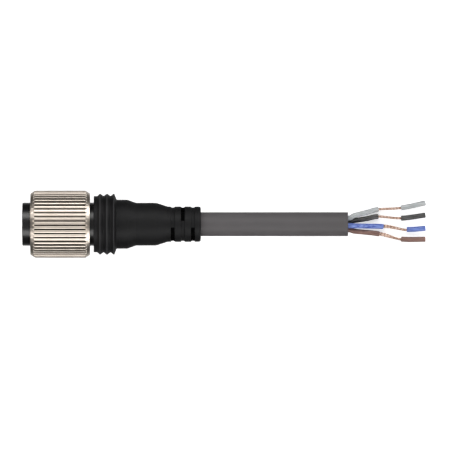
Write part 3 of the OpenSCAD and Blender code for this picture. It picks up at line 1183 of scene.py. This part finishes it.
@dataclass
class Grip:
    """Matt overmould with three pointed ribs, a waist and a strain relief with windows.

    Attributes:
        front: Where it starts along X.
        back: Where it ends.
        collar: Radius between the ribs.
        collar_edge: Rounding of its front edge.
        rib: Radius over the ribs.
        rib_start: From the front face to the first rib's tip.
        rib_pitch: From rib to rib.
        rib_tip: Width of a tip.
        rib_foot_round: Rounding between two ribs.
        ribs: How many ribs there are.
        barrel: Radius behind the ribs.
        barrel_gap: From the last rib's tip to the barrel, in rib pitches.
        barrel_length: Length of the barrel.
        barrel_round: Rounding at the barrel's front.
        body_round: Rounding of the shoulder and of the relief's start.
        shoulder_length: From the barrel to the waist.
        waist: Radius of the waist.
        waist_length: Its length.
        waist_round: Rounding at its end.
        relief: Radius of the strain relief.
        relief_length: Its length.
        grooves: How many grooves go round it.
        groove_pitch: From groove to groove.
        groove_width: Width of a groove.
        groove_depth: Its depth.
        crisp: Rounding of the ribs' tips.
        groove_round: Rounding of the grooves.
        window_width: Width of a window along X.
        window_floor: Radius of the skin that a window leaves over the cable.
        window_middle: Angle from the grip's top, or its underside, to the middle of a window.
        window_half: Half the angle that a window spans.
        soft: Width over which the windows' walls fall.
        end_round: Rounding of the end face's edge.
        end_bore: Length of the bore's last stretch.
        cable: Radius of the bore.
        neck: Radius of the carrier's neck in the front face.
        sides: Even steps round the grip, before those of the windows' walls.
    """

    front: float
    back: float
    collar: float = 5.85 * MM
    collar_edge: float = 0.12 * MM
    rib: float = 6.35 * MM
    rib_start: float = 1.3 * MM
    rib_pitch: float = 1.45 * MM
    rib_tip: float = 0.16 * MM
    rib_foot_round: float = 0.15 * MM
    ribs: int = 3
    barrel: float = 5.1 * MM
    barrel_gap: float = 0.38
    barrel_length: float = 2.25 * MM
    barrel_round: float = 0.2 * MM
    body_round: float = 0.8 * MM
    shoulder_length: float = 1.8 * MM
    waist: float = 4.45 * MM
    waist_length: float = 4.2 * MM
    waist_round: float = 1.2 * MM
    relief: float = 3.68 * MM
    relief_length: float = 6.9 * MM
    grooves: int = 3
    groove_pitch: float = 2.1 * MM
    groove_width: float = 0.9 * MM
    groove_depth: float = 0.2 * MM
    crisp: float = 0.05 * MM
    groove_round: float = 0.1 * MM
    window_width: float = 0.8 * MM
    window_floor: float = 2.6 * MM
    window_middle: float = math.radians(45)
    window_half: float = math.radians(33)
    soft: float = 0.05 * MM
    end_round: float = 0.5 * MM
    end_bore: float = 0.5 * MM
    cable: float = 2.5 * MM
    neck: float = 4.5 * MM
    sides: int = 144

    def groove_centres(self) -> list[float]:
        """The stations of the strain relief's grooves."""
        start = self.back - self.relief_length + self.groove_pitch / 2
        return [start + i * self.groove_pitch for i in range(self.grooves)]

    def outline(self) -> Profile:
        """Draws the outside, from the front face to the end face.

        Returns:
            Its points.
        """
        corners = [(self.front, self.neck, 0.0), (self.front, self.collar, self.collar_edge)]
        for i in range(self.ribs):
            tip = self.front + self.rib_start + i * self.rib_pitch
            foot = tip - self.rib_pitch / 2 + (self.rib_tip if i == 0 else 0)
            corners += [
                (foot, self.collar, self.rib_foot_round), (tip - self.rib_tip / 2, self.rib, self.crisp),
                (tip + self.rib_tip / 2, self.rib, self.crisp),
            ]
        barrel_front = tip + self.barrel_gap * self.rib_pitch
        barrel_back = barrel_front + self.barrel_length
        waist_front = barrel_back + self.shoulder_length
        corners += [
            (barrel_front, self.barrel, self.barrel_round), (barrel_back, self.barrel, self.body_round),
            (waist_front, self.waist, self.body_round),
            (waist_front + self.waist_length, self.waist, self.waist_round),
            (self.back - self.relief_length, self.relief, self.body_round),
        ]
        for x in self.groove_centres():
            wide, low = self.groove_width, self.relief - self.groove_depth
            corners += [
                (x - wide / 2, self.relief, self.groove_round), (x - wide / 4, low, self.groove_round),
                (x + wide / 4, low, self.groove_round), (x + wide / 2, self.relief, self.groove_round),
            ]
        corners += [(self.back, self.relief, self.end_round), (self.back, self.cable, 0.0)]
        return rounded(corners, steps=5)

    def wall_steps(self, wall: float, width: float) -> list[float]:
        """Five places across the middle of a window's wall."""
        return [wall + k * width / 2 for k in (-1, -0.5, 0, 0.5, 1)]

    def stations(self, outline: Profile) -> Profile:
        """Adds the stations that the windows' walls need.

        Args:
            outline: The outside's points.

        Returns:
            The points with the new ones between them.
        """
        wanted = []
        for x in self.groove_centres():
            for side in (-1, 1):
                wanted += self.wall_steps(x + side * self.window_width / 2, self.soft)
            wanted.append(x)
        apart = 1e-6  # a station nearer than this to a point is left out
        fine: Profile = []
        for here, after in zip(outline, outline[1:]):
            fine.append(here)
            run = after[0] - here[0]
            for x in sorted(w for w in wanted if here[0] + apart < w < after[0] - apart):
                fine.append((x, here[1] + (after[1] - here[1]) * (x - here[0]) / run))
        return [*fine, outline[-1]]

    def angles(self) -> list[float]:
        """Works out even angles, with close ones where the windows end.

        Returns:
            The angles, once round.
        """
        digits = 6  # decimals that are kept, so that equal angles fall together
        apart = 1e-3  # an angle nearer than this to the next one is left out
        grid = {round(a, digits) for a in even_angles(self.sides)}
        for turn in (math.pi / 2, 3 * math.pi / 2):
            for side in (-1, 1):
                for end in (-1, 1):
                    wall = turn + side * self.window_middle + end * self.window_half
                    steps = self.wall_steps(wall, self.soft / self.relief)
                    grid |= {round(step % TAU, digits) for step in steps}
        ordered = sorted(grid)
        return [a for a, b in zip(ordered, [*ordered[1:], ordered[0] + TAU]) if b - a > apart]

    def openness(self, x: float, angle: float) -> float:
        """Works out how far a window is open at a place of the strain relief.

        Args:
            x: The place along X.
            angle: Its angle round the grip.

        Returns:
            A share from 0, the plain skin, to 1, the window's floor.
        """
        for i, centre in enumerate(self.groove_centres()):
            across = self.window_width / 2 - abs(x - centre)
            if across < -self.soft:
                continue
            middle = math.pi / 2 + (-self.window_middle if i % 2 else self.window_middle)
            turn = (angle - middle + math.pi / 2) % math.pi - math.pi / 2
            along = (self.window_half - abs(turn)) * self.relief
            ease = [max(0.0, min(1.0, d / self.soft + 0.5)) for d in (across, along)]
            return min(e * e * (3 - 2 * e) for e in ease)
        return 0.0

    def build(self, shop: Workshop) -> None:
        """Makes the overmould with its windows.

        Args:
            shop: Gives the finishes.
        """
        outline = self.stations(self.outline())
        loop = [*outline, (self.back - self.end_bore, self.cable), (self.front, self.cable)]

        def press(x: float, r: float, angle: float) -> float:
            """Presses the windows into the skin; the bore stays as it is."""
            return r if r < self.window_floor else r + (self.window_floor - r) * self.openness(x, angle)

        piece = lathe("grip_overmould", loop, self.angles(), press)
        shop.dress(piece, Plastic.POLYURETHANE.value, "housing", "grip_body")
        # painted shade: the faces deep in the windows get a near black material
        self.shade_windows(piece, shop.material(Plastic.WINDOW.value))

    def shade_windows(self, piece: bpy.types.Object, material: bpy.types.Material) -> None:
        """Gives the faces inside the windows a near black material, as painted shade.

        Args:
            piece: The overmould.
            material: The windows' near black material: painted shade.
        """
        piece.data.materials.append(material)
        start, end = self.back - self.relief_length, self.back - self.end_round
        bore = 1.01 * self.cable  # a face nearer to the axis belongs to the bore
        rim = self.relief - self.groove_depth - self.soft
        # the faces between the bore and the windows' rim get the painted shade
        for face in piece.data.polygons:
            x, y, z = face.center
            if start < x < end and bore < math.hypot(y, z) < rim:
                face.material_index = 1


# ---------------------------------------------------------------- lead


class CoreColour(Enum):
    """The four cores, each with its insulation's finish."""

    BROWN = Plastic.BROWN
    WHITE = Plastic.WHITE
    BLUE = Plastic.BLUE
    BLACK = Plastic.BLACK

    @property
    def finish(self) -> Finish:
        """The insulation's finish."""
        return self.value.value


@dataclass
class CoreRoute:
    """Where one core runs: from its contact, at its place in the jacket, and out of its end.

    Attributes:
        inside: Points from the contact to the jacket.
        offset: Its place in the jacket, from the jacket's centre line.
        outside: Points past the jacket's end.
        wave: How far its bared strands were bent aside.
        swell: How much wider its strands spread where they leave the insulation.
    """

    inside: Sequence[Point]
    offset: tuple[float, float]
    outside: Sequence[Point]
    wave: float = 0.0
    swell: float = 0.0


@dataclass
class Lead:
    """The cable, its four cores and their bared ends.

    Attributes:
        jacket: Radius of the sheath.
        jacket_edge: Bevel of its cut ends.
        bore: Radius inside the sheath.
        core: Radius of a core's insulation.
        clearance: Room kept between a core and the surface below.
        strands: Radius of the bundle of strands.
        tip_gap: Room between the strands and a tip's insulation.
        strand_rings: The rings of strands round the middle one: each count, and the ring's radius in
            strand radii.
        lay: Length along the core in which the strands turn once.
        floor: Height of the surface that the lead lies on.
        core_steps: Steps between two points of a core's route.
        tuck_in: Steps that the strands run on into the insulation.
        tuck_on: Steps that they run on into the tip.
        stations: The route's points at which the cores are placed in the jacket.
        route: The jacket's centre line.
        cores: The route of each core.
    """

    jacket: float = 2.5 * MM
    jacket_edge: float = 0.06 * MM
    bore: float = 1.85 * MM
    core: float = 0.54 * MM
    clearance: float = 0.005 * MM
    strands: float = 0.27 * MM
    tip_gap: float = 0.03 * MM
    strand_rings: tuple[tuple[int, float], ...] = ((6, 2.0), (12, 3.95))
    lay: float = 5.5 * MM
    floor: float = -7.0 * MM
    core_steps: int = 10
    tuck_in: int = 2
    tuck_on: int = 5
    stations: tuple[int, ...] = (0, 4, 6, 8, 10, 12, 14)
    route: Sequence[Point] = (
        (0.028, 0, 0), (0.031, 0, 0), (0.034, 0, 0), (0.037, 0, 0), (0.040, 0, 0),
        (0.043, 0, -0.0003), (0.046, 0, -0.0007), (0.049, 0, -0.00135), (0.052, 0, -0.00225),
        (0.055, 0, -0.00315), (0.058, 0, -0.0038), (0.061, 0, -0.0042), (0.064, 0, -0.00445),
        (0.066, 0, -0.0045), (0.0679, 0, -0.0045),
    )
    cores: dict[CoreColour, CoreRoute] = field(
        default_factory=lambda: {
            CoreColour.BROWN: CoreRoute(
                ((0.0195, -0.00195, -0.00195), (0.0215, -0.00195, -0.0018), (0.024, -0.0016, -0.001),
                 (0.0265, -0.0011, -0.0004)),
                (-0.00115, -0.00035),
                ((0.0692, -0.00145, -0.0052), (0.0718, -0.0017, -0.0062), (0.0745, -0.00205, -0.00645),
                 (0.079, -0.0031, -0.00645), (0.0841, -0.00315, -0.00645)),
                wave=0.08 * MM,
                swell=0.5,
            ),
            CoreColour.WHITE: CoreRoute(
                ((0.0195, 0.00195, -0.00195), (0.0215, 0.00195, -0.0016), (0.024, 0.0018, -0.0003),
                 (0.0265, 0.0012, 0.0002)),
                (0.0012, 0.0001),
                ((0.0692, 0.0018, -0.0048), (0.0718, 0.00245, -0.006), (0.0743, 0.0031, -0.00645),
                 (0.079, 0.0034, -0.00645), (0.0841, 0.00445, -0.00645)),
            ),
            CoreColour.BLUE: CoreRoute(
                ((0.0195, 0.00195, 0.00195), (0.0215, 0.0016, 0.00195), (0.024, 0.0004, 0.0018),
                 (0.0265, -0.0002, 0.0011)),
                (-0.0003, 0.0008),
                ((0.0692, -0.00035, -0.004), (0.0718, -0.0004, -0.0056), (0.0753, -0.0005, -0.00645),
                 (0.0802, -0.0011, -0.00645), (0.0841, -0.00085, -0.00645)),
                wave=0.12 * MM,
                swell=0.4,
            ),
            CoreColour.BLACK: CoreRoute(
                ((0.0195, -0.00195, 0.00195), (0.0215, -0.0015, 0.0014), (0.024, -0.0003, 0.0001),
                 (0.0265, 0.0004, -0.0007)),
                (0.0005, -0.0008),
                ((0.0692, 0.00075, -0.0056), (0.0718, 0.00115, -0.0064), (0.0743, 0.0016, -0.00645),
                 (0.079, 0.00125, -0.00645), (0.0841, 0.0019, -0.00645)),
            ),
        }
    )

    def jacket_piece(self) -> tuple[bpy.types.Object, list[Vector]]:
        """Makes the hollow sheath, cut square.

        Returns:
            The sheath and its centre line.
        """
        path = self.settle(smooth_path(self.route, per_span=4), self.jacket)
        steps = len(path) - 1
        rim = self.jacket - self.jacket_edge
        near = 0.0015  # share of the length that the bevel of an end takes
        outer = [(k / steps, self.jacket) for k in range(1, steps)]
        inner = [(k / steps, self.bore) for k in range(steps, -1, -1)]
        section = [
            (0.0, self.bore), (0.0, rim), (near, self.jacket), *outer,
            (1 - near, self.jacket), (1.0, rim), *inner,
        ]
        return sweep("cable_sheath", path, section, sides=48), path

    def core_points(self, core: CoreRoute) -> list[Point]:
        """Joins a core's points from its contact to the end of its tip.

        Args:
            core: The core's route.

        Returns:
            The points, in order.
        """
        last = len(self.route) - 1
        middle = []
        for k in self.stations:
            ahead = Vector(self.route[min(k + 1, last)]) - Vector(self.route[max(k - 1, 0)])
            across = Vector((0, 0, 1)).cross(ahead).normalized()
            above = ahead.normalized().cross(across)
            middle.append(tuple(Vector(self.route[k]) + core.offset[0] * across + core.offset[1] * above))
        return [*core.inside, *middle, *core.outside]

    def settle(self, path: Iterable[Vector], radius: float) -> list[Vector]:
        """Keeps a round piece from dipping into the surface that it lies on.

        Args:
            path: Its centre line.
            radius: Its radius.

        Returns:
            The line, lifted where it was too low.
        """
        return [Vector((p.x, p.y, max(p.z, self.floor + radius))) for p in path]

    def insulation(self, name: str, path: list[Vector]) -> bpy.types.Object:
        """Makes a core's insulation, faintly nicked near its cut end by the stripping tool.

        Args:
            name: The piece's name.
            path: Its centre line.

        Returns:
            The insulation.
        """
        steps = len(path) - 1
        skin = [(k / steps, self.core) for k in range(1, steps)]
        end = 0.004  # share of the length from the nick to the full width, and from there to the end
        section = [
            (0.0, 0.9 * self.core), *skin, (1 - 2 * end, 0.99 * self.core),
            (1 - end, self.core), (1.0, 0.93 * self.core),
        ]
        return sweep(name, path, section, sides=24)

    def tip(self, name: str, path: list[Vector]) -> bpy.types.Object:
        """Makes the piece of insulation left on a core's end: a short tube round the strands.

        Args:
            name: The piece's name.
            path: Its centre line.

        Returns:
            The tip.
        """
        steps = len(path) - 1
        hollow = self.strands + self.tip_gap
        end = 0.02  # share of the length that an end's bevel takes
        skin = [(k / steps, self.core) for k in range(1, steps)]
        section = [
            (0.0, hollow), (0.0, 0.92 * self.core), (end, self.core), *skin,
            (1 - end, self.core), (1.0, 0.93 * self.core), (1.0, hollow), (0.5, hollow), (0.0, hollow),
        ]
        return sweep(name, path, section, sides=24)

    def strand_recipe(self, material: bpy.types.Material) -> bpy.types.NodeTree:
        """Makes the tree that lays twisted strands along a core's line.

        Args:
            material: The copper's finish.

        Returns:
            The tree.
        """
        number = "NodeSocketFloat"
        r = Recipe("twisted strands", {"Strand Radius": number, "Turns": number, "Swell": number})
        given = r.given
        thin = given["Strand Radius"]
        strand = r.add("GeometryNodeCurvePrimitiveCircle", {"Radius": thin, "Resolution": 8}, mode="RADIUS")
        strands = [strand]
        for count, reach in self.strand_rings:
            radius = r.add(MATH, [thin, reach], operation="MULTIPLY")
            ring = r.add("GeometryNodeMeshCircle", {"Vertices": count, "Radius": radius})
            strands.append(r.add("GeometryNodeInstanceOnPoints", {"Points": ring, "Instance": strand}))
        bundle = r.add("GeometryNodeJoinGeometry", {"Geometry": strands})
        profile = r.add("GeometryNodeRealizeInstances", {"Geometry": bundle})
        line = r.add("GeometryNodeMeshToCurve", {"Mesh": given["Geometry"]})
        along = r.add("GeometryNodeSplineParameter").outputs["Factor"]
        turned = r.add(MATH, [along, given["Turns"]], operation="MULTIPLY")
        twist = r.add(MATH, [turned, TAU], operation="MULTIPLY")
        wound = r.add("GeometryNodeSetCurveTilt", {"Curve": line, "Tilt": twist})
        # The strands spread where they leave the insulation and have closed up again further on
        closed_up = r.add(
            "ShaderNodeMapRange", {"Value": along, "From Min": 0.2, "From Max": 0.6},
            interpolation_type="SMOOTHSTEP",
        )
        spread = r.add(MATH, [1.0, closed_up], operation="SUBTRACT")
        width = r.add(MATH, [spread, given["Swell"], 1.0], operation="MULTIPLY_ADD")
        swept = r.add(
            "GeometryNodeCurveToMesh",
            {"Curve": wound, "Profile Curve": profile, "Scale": width, "Fill Caps": True},
        )
        return r.finish(swept, material)

    def conductor(self, name: str, path: list[Vector], core: CoreRoute, shop: Workshop) -> bpy.types.Object:
        """Makes the bared strands of one core, twisted together.

        Args:
            name: The piece's name.
            path: The strands' centre line.
            core: Its route, with the bundle's wave and swell.
            shop: Gives the material.

        Returns:
            The strands as one mesh.
        """
        steps = len(path) - 1
        bent = [
            Vector((p.x, p.y + core.wave * math.sin(TAU * k / steps), p.z)) for k, p in enumerate(path)
        ]
        mesh = bpy.data.meshes.new(name)
        mesh.from_pydata([tuple(p) for p in bent], [(k, k + 1) for k in range(steps)], [])
        line = add_object(name, mesh)
        tree = self.strand_recipe(shop.material(Metalwork.COPPER.value))
        length = sum((b - a).length for a, b in zip(bent, bent[1:]))
        outermost = self.strand_rings[-1][1] + 1
        values = {"Strand Radius": self.strands / outermost, "Turns": length / self.lay, "Swell": core.swell}
        return use_tree(line, tree, values)

    def build(self, shop: Workshop) -> None:
        """Args:
            shop: Gives the finishes.
        """
        sheath, line = self.jacket_piece()
        shop.dress(sheath, Plastic.SHEATH.value, "housing", "cable_jacket")
        for colour, core in self.cores.items():
            key = colour.name.lower()
            points = self.core_points(core)
            path = self.settle(smooth_path(points, self.core_steps), self.core + self.clearance)
            # The core is bared between the last point but two and the last but one
            bared = (len(points) - 3) * self.core_steps
            cut = bared + self.core_steps
            skin = self.insulation(f"insulation_{key}", path[: bared + 1])
            shop.dress(skin, colour.finish, "housing", f"core_{key}")
            stretch = path[bared - self.tuck_in : cut + self.tuck_on + 1]
            copper = self.conductor(f"strands_{key}", stretch, core, shop)
            shop.dress(copper, Metalwork.COPPER.value, "housing", f"conductor_{key}")
            tip = self.tip(f"sleeve_{key}", path[cut:])
            shop.dress(tip, colour.finish, "housing", f"tip_{key}")


# ---------------------------------------------------------------- scene


@dataclass(frozen=True)
class Softbox:
    """A rectangular soft light that faces the part.

    Attributes:
        name: The light's name.
        place: Its centre, from the middle of the part's axis.
        size: Length of its level edges, and of its sloping ones.
        power: Its power in watts.
    """

    name: str
    place: Point
    size: tuple[float, float]
    power: float

    def hang(self, middle: float) -> None:
        """Puts the light up and aims it.

        Args:
            middle: The middle of the part along X.
        """
        data = bpy.data.lights.new(self.name, "AREA")
        data.shape = "RECTANGLE"
        data.size, data.size_y = self.size
        data.energy = self.power
        lamp = add_object(self.name, data)
        target = Vector((middle, 0, 0))
        lamp.location = target + Vector(self.place)
        lamp.rotation_euler = (target - lamp.location).to_track_quat("-Z", "Y").to_euler()


@dataclass
class Studio:
    """Camera, floor, soft lights and the room round them.

    Attributes:
        centre: The point that the camera looks at.
        view_width: Width of what it sees.
        lens: Its focal length, in millimetres.
        sensor: Its sensor's width, in millimetres.
        floor_level: Height of the floor.
        floor_half: Half the floor's width.
        floor_glow: Strength that makes the lit floor white to the camera.
        softboxes: Two long lights over the part's sides and four small ones beyond its ends.
        room_dim: Strength of the room's walls.
        room_above: Its strength overhead.
        room_below: Its strength underneath.
    """

    centre: Point = (42.23 * MM, -0.17 * MM, 0.0)
    view_width: float = 93.75 * MM
    lens: float = 1000.0
    sensor: float = 36.0
    floor_level: float = -7.0 * MM
    floor_half: float = 0.5
    floor_glow: float = 0.62
    softboxes: tuple[Softbox, ...] = (
        Softbox("softbox back", (0.0, 0.37, 0.33), (1.2, 0.26), 2.75),
        Softbox("softbox front", (0.0, -0.37, 0.33), (1.2, 0.26), 2.55),
        *(
            Softbox("panel", (far, side, height), (0.2, 0.16), power)
            for far, height, power in ((-0.42, 0.2, 0.2), (0.42, 0.08, 0.5))
            for side in (-0.27, 0.27)
        ),
    )
    room_dim: float = 0.04
    room_above: float = 0.3
    room_below: float = 0.6

    def camera(self) -> None:
        """Looks straight down on the part through a long lens."""
        data = bpy.data.cameras.new("camera")
        data.lens = self.lens
        data.sensor_width = self.sensor
        data.clip_end = 20.0
        camera = add_object("camera", data)
        x, y, z = self.centre
        camera.location = (x, y, z + self.view_width * self.lens / self.sensor)
        bpy.context.scene.camera = camera

    def floor(self) -> None:
        """Lays a plain pale floor that keeps the part's shadow."""
        half, z = self.floor_half, self.floor_level
        verts = [(-half, -half, z), (half, -half, z), (half, half, z), (-half, half, z)]
        floor = mesh_object("floor", verts, [(0, 1, 2, 3)])
        material = bpy.data.materials.new("pale matt paper")
        material.use_nodes = True
        tree = material.node_tree
        tree.nodes.clear()
        rays = add_node(tree, "ShaderNodeLightPath").outputs
        seen = add_node(tree, MATH, [rays["Is Camera Ray"], rays["Is Glossy Ray"]], operation="MAXIMUM")
        glow = add_node(tree, MATH, [seen, self.floor_glow], operation="MULTIPLY")
        paper = add_node(tree, "ShaderNodeBsdfDiffuse", {"Color": srgb("f0f0f0")})
        light = add_node(tree, "ShaderNodeEmission", {"Strength": glow})
        both = add_node(tree, "ShaderNodeAddShader", [paper, light])
        add_node(tree, "ShaderNodeOutputMaterial", {"Surface": both})
        floor.data.materials.append(material)
        floor.visible_glossy = False

    def lights(self) -> None:
        """Hangs the softboxes."""
        for softbox in self.softboxes:
            softbox.hang(self.centre[0])

    def room(self) -> None:
        """Sets the world: dim walls, a paler ceiling and table, and white to the camera."""
        world = bpy.data.worlds.new("pale room")
        world.use_nodes = True
        tree = world.node_tree
        tree.nodes.clear()
        rays = add_node(tree, "ShaderNodeLightPath").outputs
        way = add_node(tree, "ShaderNodeTexCoord").outputs["Generated"]
        # The height of a direction goes from -1, straight down, to 1, straight up
        height = add_node(tree, "ShaderNodeSeparateXYZ", [way]).outputs["Z"]
        ceiling = {"From Min": 0.3, "From Max": 0.9, "To Min": self.room_dim, "To Max": self.room_above}
        table = {"From Min": -0.6, "From Max": -0.95, "To Min": self.room_dim, "To Max": self.room_below}
        parts = [
            add_node(
                tree, "ShaderNodeMapRange", {"Value": height, **part}, interpolation_type="SMOOTHSTEP"
            )
            for part in (table, ceiling)
        ]
        both = add_node(tree, MATH, parts, operation="MAXIMUM")
        level = add_node(tree, MATH, [rays["Is Camera Ray"], both], operation="MAXIMUM")
        sky = add_node(tree, "ShaderNodeBackground", {"Color": srgb("ffffff"), "Strength": level})
        add_node(tree, "ShaderNodeOutputWorld", {"Surface": sky})
        bpy.context.scene.world = world


def keep_cad_nodes(frame: dict, shop: Workshop) -> None:
    """Gives the CAD nodes that stay their finishes.

    Args:
        frame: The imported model's frame.
        shop: Gives the finishes.
    """
    for name, node in frame["nodes"].items():
        if name.startswith("contact_") and name != "contact_carrier":
            finish = Metalwork.GOLD.value
        elif name == "inner_mould":
            finish = Plastic.POLYPROPYLENE.value
        else:
            continue
        node.data.materials.clear()
        node.data.materials.append(shop.material(finish))
        LOG.info("%s: CAD solid, %s", name, finish.name)


def main() -> None:
    """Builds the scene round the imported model."""
    logging.basicConfig(level=logging.INFO, format="%(name)s: %(message)s")
    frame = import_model()
    scene = bpy.context.scene
    scene.view_settings.view_transform = "Standard"
    studio = Studio()
    studio.camera()
    shop = Workshop()
    Lead().build(shop)
    low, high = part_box("coupling_nut")
    CouplingNut(low.x, high.x, high.z).build(shop)
    low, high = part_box("contact_carrier")
    Carrier(low.x, high.x).build(shop)
    low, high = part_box("grip_body")
    Grip(low.x, high.x).build(shop)
    keep_cad_nodes(frame, shop)
    studio.floor()
    studio.lights()
    studio.room()


if __name__ == "__main__":
    main()
